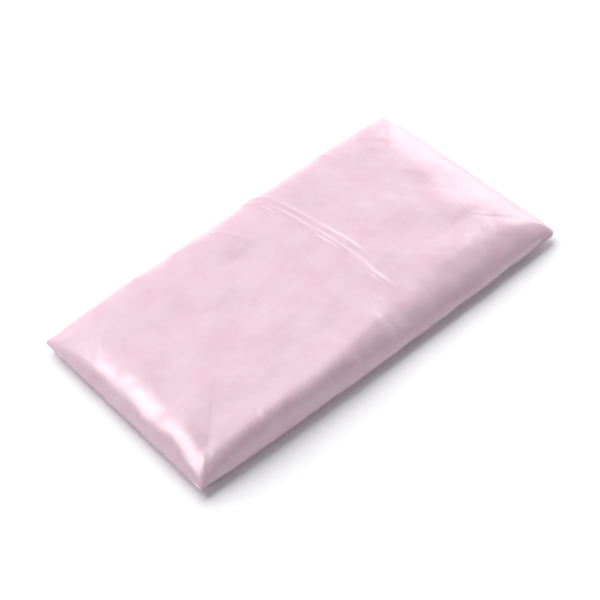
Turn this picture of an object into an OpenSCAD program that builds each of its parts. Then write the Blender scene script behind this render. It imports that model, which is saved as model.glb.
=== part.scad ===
// Eye pillow: a satin cover, sewn inside out and turned, around a muslin bag of flaxseed.
// X runs along the pillow, Y across it and Z up. The origin is under the middle of the
// pillow, on the surface that it lies on.

/* [Cover] */
// Length of the cover from seam to seam
cover_l = 220; // [190:1:250]
// Width of the cover from seam to seam
cover_w = 112; // [95:1:130]
// Height of the side seams above the resting face
seam_z = 5; // [4.5:0.5:7]
// Rise of the top panel above the seams
crown = 12.5; // [10:0.5:16]
// Width of the rounded shoulder inside each seam
shoulder = 17; // [15:1:24]
// Thickness of the satin
satin_t = 0.4; // [0.3:0.05:0.5]
// Seam allowance of the cover, turned to the inside
allowance = 5; // [4:0.5:5.5]

/* [Inner bag] */
// Thickness of the muslin
muslin_t = 0.4; // [0.3:0.05:0.5]
// Seam allowance of the inner bag, turned to the inside
liner_allowance = 5; // [4:0.5:5.5]

/* [Stitching] */
// Diameter of the sewing thread
thread_d = 0.24; // [0.2:0.02:0.26]
// Length of the opening that each bag is turned and filled through
opening_l = 60; // [50:5:70]
// Distance between two hand stitches across an opening
stitch_pitch = 4; // [3:0.5:6]

/* [Hidden] */

satin_pink = [0.93, 0.79, 0.86];
muslin_cream = [0.93, 0.90, 0.82];
seed_brown = [0.45, 0.28, 0.15];

ply_gap = 0.3;                // room between two plies, where a thread lies
dip = 0.3;                    // how far the pillow's weight presses the bottom panel in
cells_x = 28;                 // grid cells along a panel
cells_y = 18;                 // grid cells across a panel
crowding = 1.7;               // how much closer the grid lines stand near the seams
thread_inset = 1.1;           // from a seam line to the middle of its thread
stitch_l = 2.4;               // length of one hand stitch

liner_inset = allowance + 0.5;
liner_l = cover_l - 2 * liner_inset;
liner_w = cover_w - 2 * liner_inset;
liner_shoulder = shoulder - liner_inset;
liner_crown = crown - satin_t - ply_gap;
liner_depth = seam_z - ply_gap / 2 - satin_t - ply_gap;

fill_inset = liner_allowance + 0.5;
fill_l = liner_l - 2 * fill_inset;
fill_w = liner_w - 2 * fill_inset;
fill_shoulder = liner_shoulder - fill_inset;
fill_crown = liner_crown - muslin_t - ply_gap;
fill_depth = liner_depth - muslin_t - ply_gap;

// Place of grid line i of n, from -1 to 1, crowded towards both ends.
function station(i, n) = let (a = 2 * i / n - 1) sign(a) * (1 - pow(1 - abs(a), crowding));

// Rise of a rounded shoulder, from 0 on the seam to 1 at the shoulder's width.
function rise(d, width) = let (t = min(d / width, 1)) sqrt(1 - pow(1 - t, 2));

// Grid of points over a pouch half of size l by w and height h, standing on z0 and cut off
// level where it would be higher than level.
function dome(l, w, z0, h, round, level = 1000) =
    [for (j = [0:cells_y]) for (i = [0:cells_x])
        let (x = l / 2 * station(i, cells_x), y = w / 2 * station(j, cells_y))
        [x, y, z0 + min(h * rise(l / 2 - abs(x), round) * rise(w / 2 - abs(y), round), level)]];

row = cells_x + 1;
dome_points = row * (cells_y + 1);

// Indices of a dome's rim, once round, counter-clockwise from above.
rim = concat([for (i = [0:cells_x]) i],
             [for (j = [1:cells_y]) j * row + cells_x],
             [for (i = [cells_x - 1:-1:0]) cells_y * row + i],
             [for (j = [cells_y - 1:-1:1]) j * row]);

// Triangles of a dome whose points start at index s, seen from above or from below.
function dome_faces(s, above) =
    [for (j = [0:cells_y - 1]) for (i = [0:cells_x - 1])
        let (a = s + j * row + i, b = a + 1, d = a + row, c = d + 1)
        each above ? [[a, d, c], [a, c, b]] : [[a, b, c], [a, c, d]]];

// Triangles of the wall between two loops of the same number of points, the upper one first.
function wall(p, q) =
    [for (k = [0:len(p) - 1]) let (m = (k + 1) % len(p))
        each [[p[k], p[m], q[m]], [p[k], q[m], q[k]]]];

// A dome's rim drawn in towards the middle by a distance, at height z.
function drawn_in(points, l, w, inset, z) =
    [for (k = rim) [points[k][0] * (1 - 2 * inset / l), points[k][1] * (1 - 2 * inset / w), z]];

// One cloth panel: a domed sheet whose edge turns in at the seam and lies flat as the allowance.
// Its outer side is pressed level over its middle by the depth given as pressed.
module panel(l, w, h, round, t, turned_in, pressed = 0) {
    outer = dome(l, w, 0, h + pressed, round, h);
    inner = dome(l - 2 * t, w - 2 * t, t, h - 2 * t, round - t);
    inner_rim = [for (k = rim) k + dome_points];
    low = [for (k = [0:len(rim) - 1]) 2 * dome_points + k];
    high = [for (k = low) k + len(rim)];
    polyhedron(concat(outer, inner, drawn_in(outer, l, w, turned_in, 0), drawn_in(outer, l, w, turned_in, t)),
               concat(wall(rim, low), wall(low, high), wall(high, inner_rim),
                      dome_faces(0, true), dome_faces(dome_points, false)),
               convexity = 6);
}

// The loose seed, lying as a closed pouch shape: a dome above the seam level and one below.
module seed_body(l, w, up, down, round) {
    over = dome(l, w, ply_gap / 2, up, round);
    under = dome(l, w, -ply_gap / 2, -down, round);
    rim_under = [for (k = rim) k + dome_points];
    polyhedron(concat(over, under),
               concat(dome_faces(0, true), dome_faces(dome_points, false), wall(rim, rim_under)),
               convexity = 4);
}

// Points of a rounded corner with the heading at each: [x, y, heading].
function corner(x, y, radius, from) =
    [for (k = [0:4]) let (a = from + 22.5 * k) [x + radius * cos(a), y + radius * sin(a), a + 90]];

// The machine seam's run: round the pouch from one side of the opening to the other.
function seam_run(l, w, radius) =
    let (x = l / 2 - thread_inset, y = w / 2 - thread_inset)
    concat([[x, opening_l / 2, 90]],
           corner(x - radius, y - radius, radius, 0),
           corner(radius - x, y - radius, radius, 90),
           corner(radius - x, radius - y, radius, 180),
           corner(x - radius, radius - y, radius, 270),
           [[x, -opening_l / 2, 90]]);

// Eight points round the thread where it passes a point of its run.
function thread_ring(p) =
    [for (k = [0:7]) let (c = thread_d / 2 * cos(45 * k), s = thread_d / 2 * sin(45 * k))
        [p[0] - c * sin(p[2]), p[1] + c * cos(p[2]), s]];

module seam_thread(l, w) {
    run = seam_run(l, w, 2);
    last = 8 * (len(run) - 1);
    polyhedron([for (p = run) each thread_ring(p)],
               concat([for (r = [0:len(run) - 2]) for (k = [0:7])
                          let (a = 8 * r + k, b = 8 * r + (k + 1) % 8)
                          each [[a, a + 8, b + 8], [a, b + 8, b]]],
                      [for (k = [1:6]) [0, k, k + 1]],
                      [for (k = [1:6]) [last, last + k + 1, last + k]]),
               convexity = 8);
}

// Hand stitches across the opening, each lying along the seam between the two plies.
module closing_thread(l) {
    count = floor(opening_l / stitch_pitch) - 1;
    for (k = [0:count - 1])
        translate([l / 2 - thread_inset, (k - (count - 1) / 2) * stitch_pitch, 0])
            rotate([90, 0, 0])
                cylinder(h = stitch_l, d = thread_d, center = true, $fn = 24);
}

module cover_top_panel() {
    color(satin_pink)
        translate([0, 0, seam_z + ply_gap / 2])
            panel(cover_l, cover_w, crown, shoulder, satin_t, allowance);
}

// The pillow's weight presses this panel flat where it rests.
module cover_bottom_panel() {
    color(satin_pink)
        translate([0, 0, seam_z - ply_gap / 2])
            rotate([180, 0, 0])
                panel(cover_l, cover_w, seam_z - ply_gap / 2, shoulder, satin_t, allowance, dip);
}

module cover_seam_thread() {
    color(satin_pink)
        translate([0, 0, seam_z])
            seam_thread(cover_l, cover_w);
}

module cover_closing_thread() {
    color(satin_pink)
        translate([0, 0, seam_z])
            closing_thread(cover_l);
}

module liner_top_panel() {
    color(muslin_cream)
        translate([0, 0, seam_z + ply_gap / 2])
            panel(liner_l, liner_w, liner_crown, liner_shoulder, muslin_t, liner_allowance);
}

module liner_bottom_panel() {
    color(muslin_cream)
        translate([0, 0, seam_z - ply_gap / 2])
            rotate([180, 0, 0])
                panel(liner_l, liner_w, liner_depth, liner_shoulder, muslin_t, liner_allowance);
}

module liner_seam_thread() {
    color(muslin_cream)
        translate([0, 0, seam_z])
            seam_thread(liner_l, liner_w);
}

module liner_closing_thread() {
    color(muslin_cream)
        translate([0, 0, seam_z])
            closing_thread(liner_l);
}

module flaxseed_fill() {
    color(seed_brown)
        translate([0, 0, seam_z])
            seed_body(fill_l, fill_w, fill_crown, fill_depth, fill_shoulder);
}

cover_top_panel();
cover_bottom_panel();
cover_seam_thread();
cover_closing_thread();
liner_top_panel();
liner_bottom_panel();
liner_seam_thread();
liner_closing_thread();
flaxseed_fill();
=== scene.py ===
"""The eye pillow's looks: satin cover, knife-edge seams, stitches, muslin bag and seed."""
import math

import bpy
import numpy as np
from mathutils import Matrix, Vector


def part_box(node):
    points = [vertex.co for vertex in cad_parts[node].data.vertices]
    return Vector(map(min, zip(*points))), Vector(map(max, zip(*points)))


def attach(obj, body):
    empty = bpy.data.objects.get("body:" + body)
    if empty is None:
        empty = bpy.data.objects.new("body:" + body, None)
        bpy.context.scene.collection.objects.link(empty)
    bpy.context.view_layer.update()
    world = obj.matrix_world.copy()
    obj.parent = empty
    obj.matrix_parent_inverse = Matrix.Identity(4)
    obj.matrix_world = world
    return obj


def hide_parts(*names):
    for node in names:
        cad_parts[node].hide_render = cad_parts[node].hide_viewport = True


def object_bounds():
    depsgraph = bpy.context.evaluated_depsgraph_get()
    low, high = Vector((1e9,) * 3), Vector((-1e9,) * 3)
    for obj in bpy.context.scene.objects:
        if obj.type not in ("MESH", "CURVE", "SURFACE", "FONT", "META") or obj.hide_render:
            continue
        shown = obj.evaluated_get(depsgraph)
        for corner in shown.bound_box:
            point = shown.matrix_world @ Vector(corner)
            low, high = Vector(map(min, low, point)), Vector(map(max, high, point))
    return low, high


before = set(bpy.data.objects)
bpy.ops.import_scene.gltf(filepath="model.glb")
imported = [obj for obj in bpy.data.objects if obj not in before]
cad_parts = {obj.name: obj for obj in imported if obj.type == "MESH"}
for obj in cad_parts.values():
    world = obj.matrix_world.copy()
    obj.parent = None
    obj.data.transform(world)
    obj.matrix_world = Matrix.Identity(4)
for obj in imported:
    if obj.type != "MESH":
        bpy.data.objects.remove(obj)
CAD_LOW, CAD_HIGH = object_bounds()
scene = bpy.context.scene
MM = 0.001

# ---------------------------------------------------------------- sizes, from the CAD parts

LENGTH = CAD_HIGH.x - CAD_LOW.x
WIDTH = CAD_HIGH.y - CAD_LOW.y
SEAM_Z = (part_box("cover_seam_thread")[0].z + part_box("cover_seam_thread")[1].z) / 2

# ---------------------------------------------------------------- camera

AZIMUTH = math.radians(-43.2)
ELEVATION = math.radians(48.3)
LENS = 102.4
DISTANCE = 3.605 * LENGTH
AIM_LEFT = 0.010 * LENGTH      # how far the camera aims left of the pillow's middle
AIM_DOWN = 0.030 * LENGTH


def make_camera():
    """The camera, from the near left and above, with the pillow filling most of the picture."""
    level = math.cos(ELEVATION)
    back = Vector((math.sin(AZIMUTH) * level, -math.cos(AZIMUTH) * level, math.sin(ELEVATION)))
    right = Vector((math.cos(AZIMUTH), math.sin(AZIMUTH), 0))
    up = back.cross(right)
    aim = Vector((0, 0, SEAM_Z)) - AIM_LEFT * right - AIM_DOWN * up
    data = bpy.data.cameras.new("camera")
    data.lens = LENS
    data.sensor_width = 36
    data.clip_start = 0.01
    camera = bpy.data.objects.new("camera", data)
    scene.collection.objects.link(camera)
    camera.location = aim + back * DISTANCE
    camera.rotation_mode = "QUATERNION"
    camera.rotation_quaternion = (-back).to_track_quat("-Z", "Y")
    scene.camera = camera


make_camera()

# ---------------------------------------------------------------- light and floor

WALL = (0.95, 0.955, 0.965, 1)   # the pale back wall, which the floor runs into
FLOOR_REACH = 30                 # metres
FLOOR_DROP = 0.2 * MM            # how far it is below the pillow, so that the two don't flicker
FLOOR_LIT, FLOOR_GONE = 0.22, 0.75   # it runs into the wall between these, in metres


def feed(tree, node, inputs):
    """Sets a node's inputs, by name or number, to values, or links them to other nodes' outputs."""
    for name, value in inputs.items():
        if isinstance(value, bpy.types.NodeSocket):
            tree.links.new(value, node.inputs[name])
        else:
            node.inputs[name].default_value = value
    return node


def add_node(tree, kind, inputs=(), **settings):
    """A shader node of that kind, with its settings by name and its inputs fed."""
    node = tree.nodes.new("ShaderNode" + kind)
    for name, value in settings.items():
        setattr(node, name, value)
    return feed(tree, node, dict(inputs))


def mix_to_output(tree, output, share, first, second):
    """Shows a mix of two shaders, from 0, all of the first, to 1, all of the second."""
    mixed = add_node(tree, "MixShader", {"Fac": share, 1: first, 2: second})
    feed(tree, tree.nodes[output], {"Surface": mixed.outputs["Shader"]})


def make_world():
    """Dim light from all round. The camera sees a pale wall instead, beyond the floor."""
    world = bpy.data.worlds.new("studio")
    scene.world = world
    world.use_nodes = True
    tree = world.node_tree
    around = feed(tree, tree.nodes["Background"],
                  {"Color": (0.93, 0.94, 1.0, 1), "Strength": 0.32})
    wall = add_node(tree, "Background", {"Color": WALL})
    seen = add_node(tree, "LightPath").outputs["Is Camera Ray"]
    mix_to_output(tree, "World Output", seen, around.outputs["Background"],
                  wall.outputs["Background"])


def soft_box(name, azimuth, elevation, distance, size, power):
    """An area light that faces the pillow, from a bearing and a height in degrees.

    Bearing 0 is +X and 90 is +Y.
    """
    a, e = math.radians(azimuth), math.radians(elevation)
    way = Vector((math.cos(a) * math.cos(e), math.sin(a) * math.cos(e), math.sin(e)))
    data = bpy.data.lights.new(name, "AREA")
    data.shape = "RECTANGLE"
    data.size, data.size_y = size
    data.energy = power
    light = bpy.data.objects.new(name, data)
    scene.collection.objects.link(light)
    light.location = way * distance
    light.rotation_mode = "QUATERNION"
    light.rotation_quaternion = way.to_track_quat("Z", "Y")
    light.visible_camera = False
    return light


def make_lights():
    """A broad key that isn't reflected, a back light, and two lights that only the shine shows."""
    soft_box("key", 85, 55, 3.0, (3.6, 2.7), 112).visible_glossy = False
    soft_box("back", 22, 16, 1.3, (0.7, 1.1), 6)
    soft_box("gloss", 153, 49, 1.1, (0.8, 0.85), 12.5).visible_diffuse = False
    soft_box("low_gloss", 98, 17, 1.1, (0.5, 0.4), 0.9).visible_diffuse = False
    scene.view_settings.view_transform = "Standard"


def make_floor():
    """A white floor. Away from the pillow it runs into the wall, with no edge between them."""
    mesh = bpy.data.meshes.new("floor")
    corners = [(-1, -1), (1, -1), (1, 1), (-1, 1)]
    points = [(x * FLOOR_REACH, y * FLOOR_REACH, 0) for x, y in corners]
    mesh.from_pydata(points, [], [(0, 1, 2, 3)])
    floor = bpy.data.objects.new("floor", mesh)
    scene.collection.objects.link(floor)
    floor.location.z = -FLOOR_DROP
    material = bpy.data.materials.new("floor_white")
    material.use_nodes = True
    tree = material.node_tree
    shader = feed(tree, tree.nodes["Principled BSDF"],
                  {"Base Color": (0.97, 0.97, 0.97, 1), "Roughness": 0.9})
    place = add_node(tree, "TexCoord").outputs["Object"]
    away = add_node(tree, "VectorMath", {0: place}, operation="LENGTH")
    share = add_node(tree, "MapRange", {"Value": away.outputs["Value"], "From Min": FLOOR_LIT,
                                        "From Max": FLOOR_GONE}, interpolation_type="SMOOTHSTEP")
    glow = add_node(tree, "Emission", {"Color": WALL})
    mix_to_output(tree, "Material Output", share.outputs["Result"], shader.outputs["BSDF"],
                  glow.outputs["Emission"])
    mesh.materials.append(material)


make_world()
make_lights()
make_floor()

# ---------------------------------------------------------------- the pouch's shape

CROWN = CAD_HIGH.z - SEAM_Z
INNER_GAP = 5.5 * MM           # from the cover's seams to the inner bag's
PLY = 1.9 * MM                 # from the cover's outer face to the inner bag's
SEED_PLY = 1.0 * MM            # from the inner bag's outer face to the seed
SKEW_X = 1.2 * MM              # how far the ends lean, because the pouch lies a little twisted
SKEW_Y = 1.1 * MM
CELLS_X, CELLS_Y = 112, 60     # cloth grid of one panel, as simulated
FINE_X, FINE_Y = 300, 150      # of a cover panel, as finished
LINER_X, LINER_Y = 150, 75     # and of a liner panel
SATIN_T = 0.22 * MM
MUSLIN_T = 0.25 * MM

# Width of the rounded shoulder inside each seam. The seed has run away from the near right
# corner, so the shoulders get wider towards it.
WEST_BACK, WEST_FRONT = 24 * MM, 12 * MM
NORTH = 15 * MM
EAST_BACK, EAST_FRONT = 20 * MM, 42 * MM
SOUTH_X = np.array([-110, -60, -20, 10, 40, 75, 100, 110]) * MM
SOUTH = np.array([8, 7.5, 10, 18, 21, 21, 12, 7]) * MM
SOUTH_BULGE = 1.6 * MM         # how far the near long side swells out between its corners
LEAST_SHOULDER = 2.5 * MM
MEAN_SHOULDER = 16 * MM        # the one that the cloth's own length is worked out from
# Each corner: its side of the middle, its radius in plan, and how much thinner it is.
CORNERS = ((-1, -1, 1.2 * MM, 0.4), (-1, 1, 1.2 * MM, 0.35), (1, -1, 3 * MM, 0.1),
           (1, 1, 4 * MM, 0.25))
CORNER_REACH = 20 * MM
TINY = 1e-9                    # keeps a division from failing


def ease(low, high, x):
    """A smooth step from 0 at low to 1 at high."""
    t = np.clip((x - low) / (high - low), 0, 1)
    return t * t * (3 - 2 * t)


def shoulder(distance, width):
    """A rounded shoulder's height, from 0 on the seam to 1 at its full width."""
    t = np.clip(distance / np.maximum(width, LEAST_SHOULDER), 0, 1)
    return np.sqrt(1 - (1 - t) ** 2)


def waves(x, y, length, seed, count=14):
    """Smooth random unevenness with about that wavelength and a spread of about 1."""
    random = np.random.default_rng(seed)
    total = np.zeros(np.broadcast(x, y).shape)
    for _ in range(count):
        turn = random.uniform(0, 2 * math.pi)
        pitch = 2 * math.pi / (length * random.uniform(0.7, 1.5))
        along = x * math.cos(turn) + y * math.sin(turn)
        total += np.cos(pitch * along + random.uniform(0, 2 * math.pi))
    return total * math.sqrt(2 / count)


def arc_lines(length, cells):
    """Grid lines along a side, evenly spaced over the domed cloth, and the cloth's own length."""
    fine = np.linspace(-length / 2, length / 2, 4001)
    profile = CROWN * shoulder(length / 2 - np.abs(fine), MEAN_SHOULDER)
    along = np.concatenate([[0], np.cumsum(np.hypot(np.diff(fine), np.diff(profile)))])
    return np.interp(np.linspace(0, along[-1], cells + 1), along, fine), along[-1]


LINES_X, CLOTH_X = arc_lines(LENGTH, CELLS_X)
LINES_Y, CLOTH_Y = arc_lines(WIDTH, CELLS_Y)
GRID_X, GRID_Y = np.meshgrid(LINES_X, LINES_Y)


def domed(height, inset):
    """Points of a domed sheet that stands on the seam level, height up or, when negative, down."""
    x = GRID_X * (1 - 2 * inset / LENGTH)
    y = GRID_Y * (1 - 2 * inset / WIDTH)
    u, v = 2 * x / LENGTH, 2 * y / WIDTH
    west = WEST_FRONT + (WEST_BACK - WEST_FRONT) * (1 + v) / 2
    east = EAST_BACK + (EAST_FRONT - EAST_BACK) * (1 - v) / 2
    south = np.interp(x, SOUTH_X, SOUTH)
    from_end, from_side = LENGTH / 2 - inset, WIDTH / 2 - inset
    lift = (shoulder(from_end + x, west - inset) * shoulder(from_end - x, east - inset)
            * shoulder(from_side + y, south - inset) * shoulder(from_side - y, NORTH - inset))
    for side_x, side_y, radius, thinner in CORNERS:
        away = np.hypot(side_x * x - from_end, side_y * y - from_side)
        lift = lift * (1 - thinner * np.exp(-(away / CORNER_REACH) ** 2))
        beyond_x = side_x * x - (from_end - radius)
        beyond_y = side_y * y - (from_side - radius)
        inside = (beyond_x > 0) & (beyond_y > 0)
        far = np.maximum(np.hypot(beyond_x, beyond_y), TINY)
        shrink = np.where(inside, np.maximum(beyond_x, beyond_y) / far, 1)
        x = np.where(inside, side_x * (from_end - radius + beyond_x * shrink), x)
        y = np.where(inside, side_y * (from_side - radius + beyond_y * shrink), y)
    y = y - SOUTH_BULGE * (1 - u * u) * (1 - v) / 2
    return np.stack([x - SKEW_X * u * v, y + SKEW_Y * u * v, SEAM_Z + height * lift], axis=-1)


def normals_of(points):
    """Unit normals of a grid of points, pointing up on a level one."""
    across = np.gradient(points, axis=1)
    along = np.gradient(points, axis=0)
    normal = np.cross(across, along)
    return normal / np.maximum(np.linalg.norm(normal, axis=-1, keepdims=True), 1e-12)


def resampled(points, cells, axis):
    """The same grid with that many cells along an axis, on smooth curves through its points."""
    p = np.moveaxis(points, axis, 0)
    place = np.linspace(0, len(p) - 1, cells + 1)
    i = np.minimum(place.astype(int), len(p) - 2)
    t = (place - i).reshape(-1, 1, 1)
    padded = np.concatenate([2 * p[:1] - p[1:2], p, 2 * p[-1:] - p[-2:-1]])
    a, b, c, d = (padded[i + k] for k in range(4))
    out = b + t / 2 * (c - a + t * (2 * a - 5 * b + 4 * c - d + t * (3 * (b - c) + d - a)))
    return np.moveaxis(out, 0, axis)


def grid_faces(rows, columns):
    """Quads of a grid of rows by columns of points, facing up on a level one."""
    index = np.arange(rows * columns).reshape(rows, columns)
    corners = [index[:-1, :-1], index[:-1, 1:], index[1:, 1:], index[1:, :-1]]
    return np.stack(corners, axis=-1).reshape(-1, 4)


def rim_index(rows, columns):
    """Indices of a grid's outer points, once round, counter-clockwise from above."""
    index = np.arange(rows * columns).reshape(rows, columns)
    return np.concatenate([index[0, :-1], index[:-1, -1], index[-1, :0:-1], index[:0:-1, 0]])


# ---------------------------------------------------------------- cloth simulation

SIM_SCALE = 10                 # the solver works better on a pouch of metres than of millimetres
SIM_FRAMES = 24
SIM_INSET = 2.5 * MM           # from the seams to the plump bag that the cloth is draped over
SIM_PLY = 1.0 * MM             # and from the cloth's outer face
SIM_GAP = 0.004                # what touches keeps this clear, in the solver's metres
SEAM_HOLD = 0.4                # how firmly the seams stay in place, from 0 to 1
GRAVITY_SHARE = 0.3
FRICTION = 8
MOST_MOVED = 2.5 * MM          # the simulation moves a point by less than this
SEAM_SHARE = 0.3               # and the share of it that is kept at the seams
SEAM_NEAR, SEAM_FAR = 2 * MM, 14 * MM
CLOTH_SETTINGS = {
    "quality": 7,
    "mass": 0.12,
    "tension_stiffness": 25,
    "compression_stiffness": 25,
    "shear_stiffness": 8,
    "bending_stiffness": 0.6,
    "air_damping": 2,
    "vertex_group_mass": "seam",
    "use_pressure": True,
    "uniform_pressure_force": 0.1,
}


def mesh_object(name, points, faces):
    """An object in the scene with those points and faces."""
    mesh = bpy.data.meshes.new(name)
    faces = faces.tolist() if isinstance(faces, np.ndarray) else faces
    mesh.from_pydata(np.asarray(points).reshape(-1, 3).tolist(), [], faces)
    made = bpy.data.objects.new(name, mesh)
    scene.collection.objects.link(made)
    return made


def sewn_pair(top, bottom):
    """Points and faces of two panels that share their rims, and where each panel's points are."""
    rows, columns = top.shape[:2]
    inner = np.zeros((rows, columns), bool)
    inner[1:-1, 1:-1] = True
    above = np.arange(rows * columns).reshape(rows, columns)
    below = above.copy()
    below[inner] = rows * columns + np.arange(inner.sum())
    points = np.concatenate([top.reshape(-1, 3), bottom[inner]])
    up = grid_faces(rows, columns)
    faces = np.concatenate([up, below.ravel()[up][:, ::-1]])
    return points, faces, above, below


def add_flat_shape(pouch, rows, columns):
    """A shape key in which both panels are flat, as they were cut."""
    x, y = np.meshgrid(np.linspace(-CLOTH_X / 2, CLOTH_X / 2, columns),
                       np.linspace(-CLOTH_Y / 2, CLOTH_Y / 2, rows))
    flat = np.stack([x, y, np.full(x.shape, SEAM_Z)], axis=-1)
    flat_points = sewn_pair(flat, flat)[0] * SIM_SCALE
    pouch.shape_key_add(name="Basis")
    key = pouch.shape_key_add(name="flat")
    key.data.foreach_set("co", flat_points.astype(np.float32).ravel())
    return key


def add_colliders(bag_top, bag_bottom):
    """The filled bag and the ground, which the cloth lies against."""
    bag_points, bag_faces = sewn_pair(bag_top, bag_bottom)[:2]
    bag = mesh_object("sim_bag", bag_points * SIM_SCALE, bag_faces)
    reach = LENGTH * SIM_SCALE
    corners = [(-reach, -reach, 0), (reach, -reach, 0), (reach, reach, 0), (-reach, reach, 0)]
    ground = mesh_object("sim_ground", corners, [(0, 1, 2, 3)])
    ground.location.z = -2 * SIM_GAP
    for collider in (bag, ground):
        collider.modifiers.new("collision", "COLLISION")
        collider.collision.thickness_outer = SIM_GAP
        collider.collision.cloth_friction = FRICTION
    return bag, ground


def simulate(top, bottom, bag_top, bag_bottom):
    """Lets the two sewn panels settle over the filled bag, and returns their new points."""
    points, faces, above, below = sewn_pair(top, bottom)
    rows, columns = top.shape[:2]
    pouch = mesh_object("sim_pouch", points * SIM_SCALE, faces)
    flat_shape = add_flat_shape(pouch, rows, columns)
    seam = pouch.vertex_groups.new(name="seam")
    seam.add(rim_index(rows, columns).tolist(), SEAM_HOLD, "REPLACE")
    bag, ground = add_colliders(bag_top, bag_bottom)

    cloth = pouch.modifiers.new("cloth", "CLOTH")
    for name, value in CLOTH_SETTINGS.items():
        setattr(cloth.settings, name, value)
    cloth.settings.rest_shape_key = flat_shape
    cloth.settings.effector_weights.gravity = GRAVITY_SHARE
    cloth.collision_settings.distance_min = SIM_GAP
    cloth.collision_settings.collision_quality = 3
    cloth.point_cache.frame_start = 1
    cloth.point_cache.frame_end = SIM_FRAMES
    for step in range(1, SIM_FRAMES + 1):
        scene.frame_set(step)
    result = pouch.evaluated_get(bpy.context.evaluated_depsgraph_get())
    moved = np.empty(len(points) * 3, np.float32)
    result.data.vertices.foreach_get("co", moved)
    scene.frame_set(1)
    for helper in (pouch, bag, ground):
        mesh = helper.data
        bpy.data.objects.remove(helper)
        bpy.data.meshes.remove(mesh)

    shift = moved.reshape(-1, 3).astype(float) / SIM_SCALE - points
    shift *= MOST_MOVED / (MOST_MOVED + np.linalg.norm(shift, axis=1, keepdims=True))
    inset = seam_distance(points[:, 0], points[:, 1])[0][:, None]
    settled = points + shift * (SEAM_SHARE + (1 - SEAM_SHARE) * ease(SEAM_NEAR, SEAM_FAR, inset))
    return settled[above], settled[below]


# ---------------------------------------------------------------- folds, gathers and unevenness

# The crease across the top panel: places along the width, and where it is along the length.
CREASE_Y = np.array([-45, -37, -25, -10, 7, 24, 35, 46, 56]) * MM
CREASE_X = np.array([25.5, 24, 22.5, 24, 22.5, 20.5, 18, 15, 11]) * MM
CREASE_APART = 2.2 * MM        # half the distance between its two ridges
CREASE_WIDE = 1.55 * MM
CREASE_HIGH = 1.1 * MM


def ridge(distance, width):
    """The rounded profile of a fold, 1 high."""
    return np.exp(-(distance / width) ** 2)


def crease_height(x, y):
    """The long double crease that runs from the far long seam three quarters of the way across."""
    middle = np.interp(y, CREASE_Y, CREASE_X)
    long_ridge = ridge(x - middle + CREASE_APART, CREASE_WIDE) * ease(-40 * MM, -24 * MM, y)
    short_ridge = ridge(x - middle - CREASE_APART, CREASE_WIDE) * ease(-18 * MM, 0, y)
    long_ridge *= 0.7 + 0.3 * np.sin(y / (6 * MM) + 0.6)
    short_ridge *= 0.65 + 0.35 * np.cos(y / (8 * MM))
    return CREASE_HIGH * (long_ridge + short_ridge)


# Short folds that run in from the seams: x, y, direction in degrees, length, half width, height.
SMALL_FOLDS = (
    (-12, 40, -62, 9, 1.3, 0.45),
    (32, -48, 75, 6, 2.4, -0.6),
    (38, -47, 78, 7, 2.2, 0.4),
    (-75, -51, 68, 5, 2.2, -0.5),
    (-70, -50, 70, 6, 2.0, 0.35),
    (-52, -51, 100, 5, 2.8, -0.4),
    (6, -51, 95, 5, 2.0, -0.35),
    (70, -48, 60, 8, 2.2, 0.5),
    (-87, -42, 25, 5, 3.0, 0.35),
    (-96, 30, 40, 9, 2.4, 0.4),
    (84, -44, 62, 13, 4.5, -0.7),
    (64, -45, 66, 13, 4.0, 0.6),
    (48, -45, 78, 12, 4.5, -0.6),
    (14, -47, 82, 10, 4.0, -0.6),
    (2, -47, 84, 9, 3.5, 0.5),
    (-22, -49, 80, 9, 3.5, 0.5),
    (-34, -49, 78, 8, 3.5, -0.5),
    (88, 38, 150, 9, 2.2, 0.4),
    (60, 50, -80, 6, 1.6, 0.4),
    (-60, 50, -100, 6, 1.6, 0.35),
)


def small_folds(x, y):
    """The height of all the short folds together."""
    total = np.zeros(x.shape)
    for fx, fy, turn, long, wide, high in SMALL_FOLDS:
        a = math.radians(turn)
        dx, dy = x - fx * MM, y - fy * MM
        along = dx * math.cos(a) + dy * math.sin(a)
        aside = dy * math.cos(a) - dx * math.sin(a)
        total += high * MM * ridge(aside, wide * MM) * ridge(along, long * MM)
    return total


def seam_distance(x, y):
    """Distance in from the nearest seam, and a distance along it, for points of a panel."""
    from_end = LENGTH / 2 - np.abs(x)
    from_side = WIDTH / 2 - np.abs(y)
    return np.minimum(from_end, from_side), np.where(from_end < from_side, y, x)


# Unevenness, as heights and wavelengths. The first two die away from the seams over a distance.
GATHER_HIGH, GATHER_LONG, GATHER_REACH = 0.16 * MM, 13 * MM, 5 * MM
SLACK_HIGH, SLACK_LONG, SLACK_REACH = 0.35 * MM, 24 * MM, 15 * MM
SOFT_HIGH, SOFT_LONG = 0.26 * MM, 34 * MM
LUMP_HIGH, LUMP_LONG = 0.05 * MM, 10 * MM
GRAIN_HIGH, GRAIN_LONG = 0.012 * MM, 3.2 * MM


def unevenness(x, y, seed):
    """Gathers along the seams and the soft unevenness of cloth that lies on loose seed."""
    inset, along = seam_distance(x, y)
    side = np.sign(x) + 2 * np.sign(y)
    gathered = GATHER_HIGH * waves(along, side * MM, GATHER_LONG, seed)
    gathered *= np.exp(-inset / GATHER_REACH) * ease(-0.5 * MM, 1.5 * MM, inset)
    slack = SLACK_HIGH * waves(along, side * MM, SLACK_LONG, seed + 4)
    gathered += slack * np.exp(-inset / SLACK_REACH) * ease(0, 7 * MM, inset)
    soft = SOFT_HIGH * waves(x, y, SOFT_LONG, seed + 1)
    soft += LUMP_HIGH * waves(x, y, LUMP_LONG, seed + 2)
    grain = GRAIN_HIGH * waves(x, y, GRAIN_LONG, seed + 3, count=24)
    return gathered + (soft + grain) * ease(1 * MM, 12 * MM, inset)


# ---------------------------------------------------------------- materials

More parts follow.
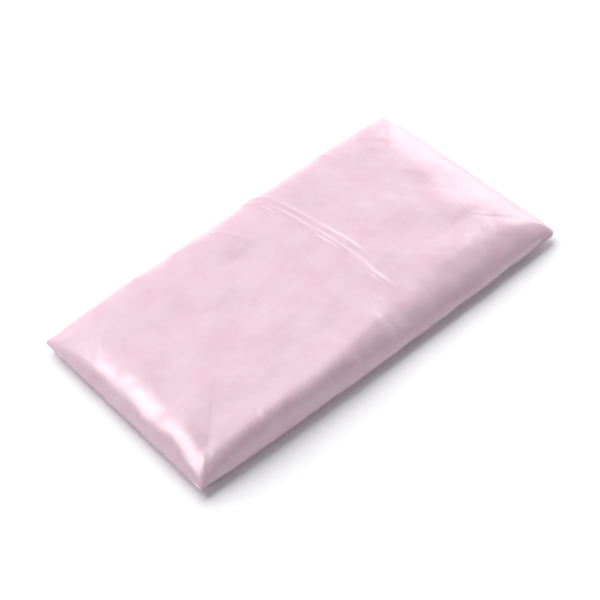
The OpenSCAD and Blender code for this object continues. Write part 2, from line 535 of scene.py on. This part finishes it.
SATIN_DEEP, SATIN_PALE = (0.735, 0.485, 0.572), (0.785, 0.570, 0.650)
WAVE_PER_METRE = 0.314         # a wave texture's scale for bands one metre apart


def new_material(name):
    """A material, its node tree, its shader, and the place on the object that its textures read."""
    material = bpy.data.materials.new(name)
    material.use_nodes = True
    tree = material.node_tree
    place = add_node(tree, "TexCoord").outputs["Object"]
    return material, tree, tree.nodes["Principled BSDF"], place


def colour_ramp(tree, source, stops):
    """Maps a 0 to 1 output to colours through (place, colour) stops."""
    ramp = add_node(tree, "ValToRGB", {"Fac": source})
    while len(ramp.color_ramp.elements) < len(stops):
        ramp.color_ramp.elements.new(0.5)
    for element, (place, colour) in zip(ramp.color_ramp.elements, stops):
        element.position = place
        element.color = (*colour, 1)
    return ramp.outputs["Color"]


def value_ramp(tree, source, low, high):
    """Maps a 0 to 1 output to low to high."""
    node = add_node(tree, "MapRange", {"Value": source, "To Min": low, "To Max": high})
    return node.outputs["Result"]


def noise(tree, place, size, detail=3, rough=0.5):
    """Noise with blobs of about that size in metres."""
    node = add_node(tree, "TexNoise", {"Vector": place, "Scale": 1 / size, "Detail": detail,
                                       "Roughness": rough})
    return node.outputs["Fac"]


def bump(tree, height, distance, strength, under=None):
    """Relief from a 0 to 1 height, on top of another relief where one is given."""
    node = add_node(tree, "Bump", {"Height": height, "Distance": distance, "Strength": strength})
    if under is not None:
        feed(tree, node, {"Normal": under})
    return node.outputs["Normal"]


def weave_height(tree, place, pitch, slant):
    """A woven relief from two crossed sets of threads, one slanted for a satin's long floats."""
    heights = []
    for turn in (0, math.pi / 2 - slant):
        turned = add_node(tree, "Mapping", {"Vector": place, "Rotation": (0, 0, turn)})
        threads = add_node(tree, "TexWave", {
            "Vector": turned.outputs["Vector"], "Scale": WAVE_PER_METRE / pitch,
            "Distortion": 0.6, "Detail": 1, "Detail Scale": 2})
        heights.append(threads.outputs["Fac"])
    both = add_node(tree, "Math", {0: heights[0], 1: heights[1]}, operation="MULTIPLY")
    return both.outputs["Value"]


def satin():
    """Warp-faced satin: a smooth bright cloth with long floats, slightly mottled."""
    material, tree, shader, place = new_material("pink_satin")
    mottle = noise(tree, place, 14 * MM, 5, 0.62)
    streak = noise(tree, place, 5 * MM, 2)
    crumple = bump(tree, noise(tree, place, 7 * MM), 0.25 * MM, 0.5)
    weave = weave_height(tree, place, 0.22 * MM, math.radians(24))
    feed(tree, shader, {
        "Base Color": colour_ramp(tree, mottle, ((0.30, SATIN_DEEP), (0.72, SATIN_PALE))),
        "Roughness": value_ramp(tree, streak, 0.285, 0.365),
        "Specular IOR Level": 0.9,
        "Sheen Weight": 0.4,
        "Sheen Roughness": 0.3,
        "Sheen Tint": (1, 0.93, 0.96, 1),
        "Coat Weight": 0.2,
        "Coat Roughness": 0.285,
        "Normal": bump(tree, weave, 0.02 * MM, 0.1, crumple)})
    return material


def muslin():
    """Plain-weave unbleached cotton, with thicker and thinner threads."""
    material, tree, shader, place = new_material("muslin")
    slub = noise(tree, place, 3 * MM, 4, 0.6)
    creams = ((0.3, (0.66, 0.59, 0.46)), (0.7, (0.84, 0.79, 0.67)))
    feed(tree, shader, {
        "Base Color": colour_ramp(tree, slub, creams),
        "Roughness": 0.88,
        "Specular IOR Level": 0.25,
        "Sheen Weight": 0.2,
        "Normal": bump(tree, weave_height(tree, place, 0.55 * MM, 0), 0.12 * MM, 0.6)})
    return material


def thread(name, deep, pale):
    """Twisted sewing thread."""
    material, tree, shader, place = new_material(name)
    twist = add_node(tree, "TexWave", {"Vector": place, "Scale": 900}, bands_direction="DIAGONAL")
    feed(tree, shader, {
        "Base Color": colour_ramp(tree, noise(tree, place, 0.8 * MM), ((0.35, deep), (0.65, pale))),
        "Roughness": 0.5,
        "Normal": bump(tree, twist.outputs["Fac"], 0.04 * MM, 0.5)})
    return material


def flaxseed():
    """Glossy brown seed coats, each seed of a slightly different brown."""
    material, tree, shader, place = new_material("flaxseed")
    cells = add_node(tree, "TexVoronoi", {"Vector": place, "Scale": 1 / (3.5 * MM)})
    split = add_node(tree, "SeparateColor", {"Color": cells.outputs["Color"]})
    browns = ((0.0, (0.10, 0.035, 0.012)), (0.6, (0.22, 0.085, 0.03)), (1.0, (0.36, 0.17, 0.06)))
    feed(tree, shader, {
        "Base Color": colour_ramp(tree, split.outputs["Red"], browns),
        "Roughness": 0.3,
        "Coat Weight": 0.4,
        "Normal": bump(tree, noise(tree, place, 0.5 * MM, 2), 0.05 * MM, 0.3)})
    return material


SATIN = satin()
MUSLIN = muslin()
PINK_THREAD = thread("pink_thread", (0.62, 0.38, 0.48), (0.76, 0.52, 0.62))
COTTON_THREAD = thread("cotton_thread", (0.70, 0.64, 0.52), (0.86, 0.82, 0.72))
SEED = flaxseed()

# ---------------------------------------------------------------- pieces


def finish_piece(piece, material, slot, *nodes):
    """Gives a piece its material and smooth shading, puts it on the root body, and hides the CAD
    nodes that it stands for.
    """
    piece.data.materials.append(material)
    piece.data.shade_smooth()
    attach(piece, "root")
    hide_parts(*nodes)
    return piece


GROOVE = 0.15 * MM             # half the fine groove between two panels at their seam
FOLD = 0.35 * MM               # radius of the folded edge
TURN_IN = 5 * MM               # the seam allowance, inside the fold
# The folded edge, as loops: how far in from the seam, and how far above the groove.
FOLD_LOOPS = ((0.13 * FOLD, 0.5 * FOLD), (0.5 * FOLD, 0.13 * FOLD), (FOLD, 0), (3 * FOLD, 0),
              (TURN_IN, 0))


def drawn_in(loop, distance):
    """A loop of seam points, drawn in towards the middle."""
    return loop * (1 - 2 * distance / LENGTH, 1 - 2 * distance / WIDTH, 1)


def cloth_panel(name, points, up, thickness):
    """A panel with thickness. Its rim folds in at the seam and goes on inside as the allowance."""
    rows, columns = points.shape[:2]
    rim = rim_index(rows, columns)
    side = 1 if up else -1
    edge = points.reshape(-1, 3)[rim]
    outer = points.reshape(-1, 3).copy()
    outer[rim] = edge + (0, 0, side * (GROOVE + FOLD))
    loops, faces = [outer], [grid_faces(rows, columns)]
    last, start = rim, rows * columns
    for inset, height in FOLD_LOOPS:
        loops.append(drawn_in(edge, inset) + (0, 0, side * (GROOVE + height)))
        now = np.arange(start, start + len(rim))
        faces.append(np.stack([last, now, np.roll(now, -1), np.roll(last, -1)], axis=1))
        last, start = now, start + len(rim)
    faces = np.concatenate(faces)
    if not up:
        faces = faces[:, ::-1]
    piece = mesh_object(name, np.concatenate(loops), faces)
    skin = piece.modifiers.new("thickness", "SOLIDIFY")
    skin.thickness = thickness
    skin.offset = -1
    return piece


THREAD_INSET = 1.1 * MM        # from the seam to the machine thread
STRAND = 0.075 * MM            # radius of each of a thread's two strands
STRAND_SIDES = 5
LAY = 1.1 * MM                 # length along the thread of one full twist
STRAND_STEP = 0.22 * MM
PATH_STEP = 0.5 * MM
END_BAND = 4 * MM              # the rim within this of its furthest +X point is the closing end
OPENING = 60 * MM              # the turning gap in that end, which slip stitches close
STITCH_PITCH = 4 * MM
STITCH_MARGIN = 2 * MM         # how much of the rim beyond the gap the stitches are fitted to
# One slip stitch: along the seam, above or below it, and how deep inside the fold.
STITCH_ALONG = np.array([-1.2, -1.1, -0.95, 0, 0.95, 1.1, 1.2]) * MM
STITCH_UP = np.array([-0.12, -0.03, 0.072, 0.096, 0.072, -0.03, -0.12]) * MM
STITCH_SINK = np.array([0.7, 0.3, 0, -0.05, 0, 0.3, 0.7]) * MM


def joined(parts):
    """Several (points, faces) as one."""
    points, faces, start = [], [], 0
    for part_points, part_faces in parts:
        points.append(part_points)
        faces += [tuple(k + start for k in face) for face in part_faces]
        start += len(part_points)
    return np.concatenate(points), faces


def sides_of(path):
    """Unit vectors to the side of a path and above it, at each of its points."""
    ahead = np.gradient(path, axis=0)
    ahead /= np.linalg.norm(ahead, axis=1, keepdims=True)
    aside = np.cross(ahead, (0, 0, 1.0))
    aside /= np.maximum(np.linalg.norm(aside, axis=1, keepdims=True), TINY)
    return aside, np.cross(aside, ahead)


def sweep(path, radius, sides):
    """Points and faces of a tube along a path, closed at its ends."""
    aside, above = sides_of(path)
    turn = np.linspace(0, 2 * math.pi, sides, endpoint=False).reshape(1, -1, 1)
    around = np.cos(turn) * aside[:, None] + np.sin(turn) * above[:, None]
    points = path[:, None] + radius * around
    index = np.arange(len(path) * sides).reshape(len(path), sides)
    before, after = index[:-1], index[1:]
    corners = [before, np.roll(before, -1, axis=1), np.roll(after, -1, axis=1), after]
    faces = [tuple(face) for face in np.stack(corners, axis=-1).reshape(-1, 4).tolist()]
    faces += [tuple(index[0][::-1].tolist()), tuple(index[-1].tolist())]
    return points.reshape(-1, 3), faces


def even_path(path, step, closed):
    """The same path with points every step along it."""
    if closed:
        path = np.concatenate([path, path[:1]])
    along = np.concatenate([[0], np.cumsum(np.linalg.norm(np.diff(path, axis=0), axis=1))])
    place = np.linspace(0, along[-1], int(round(along[-1] / step)), endpoint=not closed)
    return np.stack([np.interp(place, along, path[:, k]) for k in range(3)], axis=1)


def twisted(path):
    """Two strands twisted round each other along a path, as one set of points and faces."""
    path = even_path(path, STRAND_STEP, False)
    aside, above = sides_of(path)
    turns = round(len(path) * STRAND_STEP / LAY)
    angle = np.linspace(0, 2 * math.pi * turns, len(path))[:, None]
    strands = []
    for start in (0, math.pi):
        around = STRAND * (np.cos(angle + start) * aside + np.sin(angle + start) * above)
        strands.append(sweep(path + around, STRAND, STRAND_SIDES))
    return joined(strands)


def seam_thread(name, rim):
    """The machine seam: a thread round the pouch, just inside the seam, but for the opening."""
    path = even_path(drawn_in(rim, THREAD_INSET), PATH_STEP, True)
    at_opening = (path[:, 0] > rim[:, 0].max() - END_BAND) & (np.abs(path[:, 1]) < OPENING / 2)
    first = np.flatnonzero(at_opening & ~np.roll(at_opening, -1))[0] + 1
    path = np.roll(path, -first, axis=0)[:len(path) - at_opening.sum()]
    return mesh_object(name, *twisted(path))


def closing_thread(name, rim):
    """Slip stitches that run in one fold, cross the groove and run back into the other."""
    inside = drawn_in(rim, FOLD)
    at_end = inside[:, 0] > inside[:, 0].max() - END_BAND
    end = inside[at_end & (np.abs(inside[:, 1]) < OPENING / 2 + STITCH_MARGIN)]
    end = end[np.argsort(end[:, 1])]
    count = int(OPENING / STITCH_PITCH) - 1
    stitches = []
    for k in range(count):
        y = (k - (count - 1) / 2) * STITCH_PITCH + STITCH_ALONG
        x = np.interp(y, end[:, 1], end[:, 0]) - STITCH_SINK
        z = np.interp(y, end[:, 1], end[:, 2]) + STITCH_UP
        stitches.append(twisted(np.stack([x, y, z], axis=1)))
    return mesh_object(name, *joined(stitches))


SEED_LONG, SEED_WIDE, SEED_THICK = 4.6 * MM, 2.3 * MM, 1.0 * MM
SEED_RINGS = ((0.16, 0.62), (0.45, 1.0), (0.75, 0.72))   # place along it, and share of its width
SEED_SIDES = 6
SEEDS_ABOVE, SEEDS_BELOW = 1500, 1100
SEED_SUNK = 0.55 * MM          # how deep the middle of a seed is in the pile's surface
SEED_SIZES = 0.85, 1.1
SEED_TILT = 0.3                # the most that one tips out of the surface, in radians


def one_seed():
    """Points and faces of a seed that lies along X, with a blunt and a pointed end."""
    turn = np.linspace(0, 2 * math.pi, SEED_SIDES, endpoint=False)
    points = [((place - 0.5) * SEED_LONG, share * SEED_WIDE / 2 * math.cos(a),
               share * SEED_THICK / 2 * math.sin(a)) for place, share in SEED_RINGS for a in turn]
    points += [(-SEED_LONG / 2, 0, 0), (SEED_LONG / 2, 0, 0)]
    blunt, pointed = len(points) - 2, len(points) - 1
    last_ring = SEED_SIDES * (len(SEED_RINGS) - 1)
    side = [(k, (k + 1) % SEED_SIDES) for k in range(SEED_SIDES)]
    faces = [(ring + k, ring + after, ring + SEED_SIDES + after, ring + SEED_SIDES + k)
             for ring in range(0, last_ring, SEED_SIDES) for k, after in side]
    faces += [(after, k, blunt) for k, after in side]
    faces += [(last_ring + k, last_ring + after, pointed) for k, after in side]
    return np.array(points), faces


def scattered_seed(random, sheet, normal, shape):
    """A seed's points, laid at a random place and turn on a sheet with those normals."""
    rows, columns = sheet.shape[:2]
    r, c = random.integers(1, rows - 1), random.integers(1, columns - 1)
    out = normal[r, c]
    level = np.cross(out, (0.3, 1, 0.2))
    level /= np.linalg.norm(level)
    other = np.cross(out, level)
    turn, tilt = random.uniform(0, 2 * math.pi), random.uniform(-SEED_TILT, SEED_TILT)
    ahead = math.cos(turn) * level + math.sin(turn) * other
    across = np.cross(out, ahead)
    ahead = ahead * math.cos(tilt) + out * math.sin(tilt)
    upward = np.cross(ahead, across)
    size = random.uniform(*SEED_SIZES)
    at = sheet[r, c] - out * SEED_SUNK + out * random.uniform(-0.2, 0.1) * MM
    return at + size * shape @ np.stack([ahead, across, upward])


def seed_pile(name, top, bottom):
    """The fill: a closed body with loose flaxseed lying all over it."""
    points, faces = sewn_pair(top, bottom)[:2]
    parts = [(points, faces.tolist())]
    shape, seed_faces = one_seed()
    random = np.random.default_rng(5)
    for sheet, side, count in ((top, 1, SEEDS_ABOVE), (bottom, -1, SEEDS_BELOW)):
        normal = normals_of(sheet) * side
        for _ in range(count):
            parts.append((scattered_seed(random, sheet, normal, shape), seed_faces))
    return mesh_object(name, *joined(parts))


def refined(points, cells_x, cells_y):
    """The same sheet as a finer grid."""
    return resampled(resampled(points, cells_x, 1), cells_y, 0)


def relaxed(points, times=40):
    """The same sheet with its sharpest bends eased. Its rim stays where it is."""
    points = points.copy()
    for _ in range(times):
        beside = points[:-2, 1:-1] + points[2:, 1:-1] + points[1:-1, :-2] + points[1:-1, 2:]
        points[1:-1, 1:-1] = points[1:-1, 1:-1] / 2 + beside / 8
    return points


def shaped(points, height):
    """The same sheet, moved along its normals by a height that is worked out from x and y."""
    return points + normals_of(points) * height(points[..., 0], points[..., 1])[..., None]


def share_rim(top, bottom):
    """Gives the bottom sheet the top one's rim, and returns that rim."""
    index = rim_index(*top.shape[:2])
    rim = top.reshape(-1, 3)[index]
    bottom.reshape(-1, 3)[index] = rim
    return rim


# The inner bag, the seed, and the cover, which settles over a plumper stand-in for the bag.
bag_top = domed(CROWN - PLY, INNER_GAP)
bag_bottom = domed(-(SEAM_Z - PLY), INNER_GAP)
seed_top = domed(CROWN - PLY - SEED_PLY, 2 * INNER_GAP)
seed_bottom = domed(-(SEAM_Z - PLY - SEED_PLY), 2 * INNER_GAP)
cover_top, cover_bottom = domed(CROWN, 0), domed(-SEAM_Z, 0)
cover_top, cover_bottom = simulate(cover_top, cover_bottom, domed(CROWN - SIM_PLY, SIM_INSET),
                                   domed(-(SEAM_Z - SIM_PLY), SIM_INSET))

cover_top = relaxed(refined(cover_top, FINE_X, FINE_Y))
cover_bottom = relaxed(refined(cover_bottom, FINE_X, FINE_Y))
cover_top = shaped(cover_top, lambda x, y: (crease_height(x, y) + small_folds(x, y)
                                            + unevenness(x, y, seed=11)))
# the underside is flat where it lies on the ground
off_ground = ease(0, 3 * MM, cover_bottom[..., 2])
cover_bottom = shaped(cover_bottom, lambda x, y: off_ground * unevenness(x, y, seed=41))
cover_bottom[..., 2] = np.maximum(cover_bottom[..., 2], 0)
rim = share_rim(cover_top, cover_bottom)

top_panel = finish_piece(cloth_panel("cover_top_panel_cloth", cover_top, True, SATIN_T),
                         SATIN, "satin", "cover_top_panel")
bottom_panel = finish_piece(cloth_panel("cover_bottom_panel_cloth", cover_bottom, False, SATIN_T),
                            SATIN, "satin", "cover_bottom_panel")
finish_piece(seam_thread("cover_seam_stitching", rim), PINK_THREAD, "satin_thread",
             "cover_seam_thread")
finish_piece(closing_thread("cover_closing_stitches", rim), PINK_THREAD, "satin_thread",
             "cover_closing_thread")

# the inner bag's unevenness only ever goes inwards, away from the cover
bag_top = shaped(refined(bag_top, LINER_X, LINER_Y),
                 lambda x, y: -0.5 * np.abs(unevenness(x, y, seed=71)))
bag_bottom = shaped(refined(bag_bottom, LINER_X, LINER_Y),
                    lambda x, y: 0.3 * np.abs(unevenness(x, y, seed=73)))
bag_rim = share_rim(bag_top, bag_bottom)
liner_top = finish_piece(cloth_panel("liner_top_panel_cloth", bag_top, True, MUSLIN_T),
                         MUSLIN, "muslin", "liner_top_panel")
liner_bottom = finish_piece(cloth_panel("liner_bottom_panel_cloth", bag_bottom, False, MUSLIN_T),
                            MUSLIN, "muslin", "liner_bottom_panel")
finish_piece(seam_thread("liner_seam_stitching", bag_rim), COTTON_THREAD, "cotton_thread",
             "liner_seam_thread")
finish_piece(closing_thread("liner_closing_stitches", bag_rim), COTTON_THREAD, "cotton_thread",
             "liner_closing_thread")
fill_pile = finish_piece(seed_pile("flaxseed_fill_pile", seed_top, seed_bottom), SEED, "flaxseed",
                         "flaxseed_fill")
